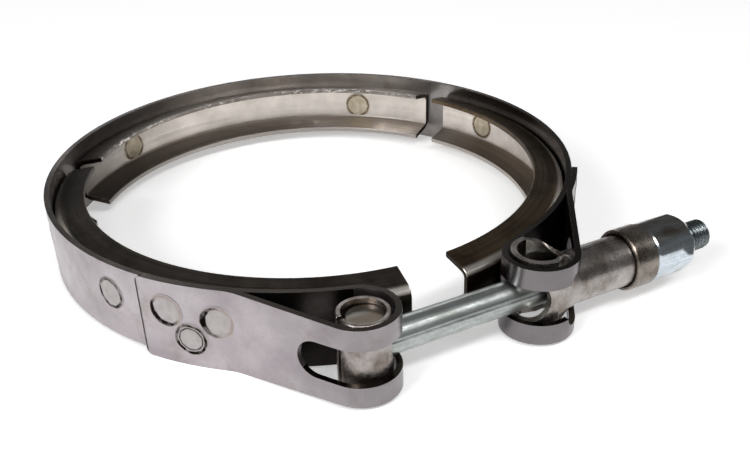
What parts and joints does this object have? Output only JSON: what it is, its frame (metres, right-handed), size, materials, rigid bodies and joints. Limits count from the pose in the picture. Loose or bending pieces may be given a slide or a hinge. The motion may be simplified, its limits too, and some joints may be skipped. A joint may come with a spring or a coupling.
{
  "type": "v band clamp",
  "caption": "Round V-band clamp with three V channels spot welded in a band, closed by a T-bolt, folded trunnion and lock nut.",
  "frame": {"origin": "centre of the ring at mid-height", "axes": "+Z along the ring's axis, +X along the bolt towards its free threaded end, the opening faces -Y"},
  "size_m": [0.1214, 0.1312, 0.0178],
  "materials": {
    "band_steel": "rolled stainless strip, satin",
    "channel_steel": "rolled stainless channel, satin",
    "bolt_steel": "stainless, drawn",
    "trunnion_steel": "pressed stainless sheet",
    "nut_steel": "bright zinc plate"
  },
  "bodies": {
    "clamp": {"band": "band_steel", "retainer_left": "channel_steel", "retainer_rear": "channel_steel", "retainer_right": "channel_steel"},
    "bolt": {"bolt_sleeve": "trunnion_steel", "t_bolt": "bolt_steel"},
    "trunnion": {"saddle_trunnion": "trunnion_steel"},
    "collar": {"collar_ring": "trunnion_steel"},
    "nut": {"lock_nut": "nut_steel"}
  },
  "joints": [
    {"name": "bolt_swivel", "type": "hinge", "parent": "clamp", "child": "bolt", "pos_m": [-0.0198, -0.06339, 0], "axis": [0, 0, 1], "range_deg": [-1.5, 1.5]},
    {"name": "trunnion_swivel", "type": "hinge", "parent": "clamp", "child": "trunnion", "pos_m": [0.0184, -0.06339, 0], "axis": [0, 0, 1], "range_deg": [-4.2, 4.2]},
    {"name": "nut_travel", "type": "slide", "parent": "bolt", "child": "collar", "axis": [1, 0, 0], "range_m": [0, 0.012]},
    {"name": "nut_spin", "type": "hinge", "parent": "collar", "child": "nut", "pos_m": [0.0497, -0.06339, 0], "axis": [1, 0, 0], "range_deg": [0, 4765]}
  ],
  "couplings": [
    {"joint": "trunnion_swivel", "follows": "bolt_swivel", "ratio": 2.7054},
    {"joint": "nut_spin", "follows": "nut_travel", "rad_per_m": 6927.4}
  ]
}
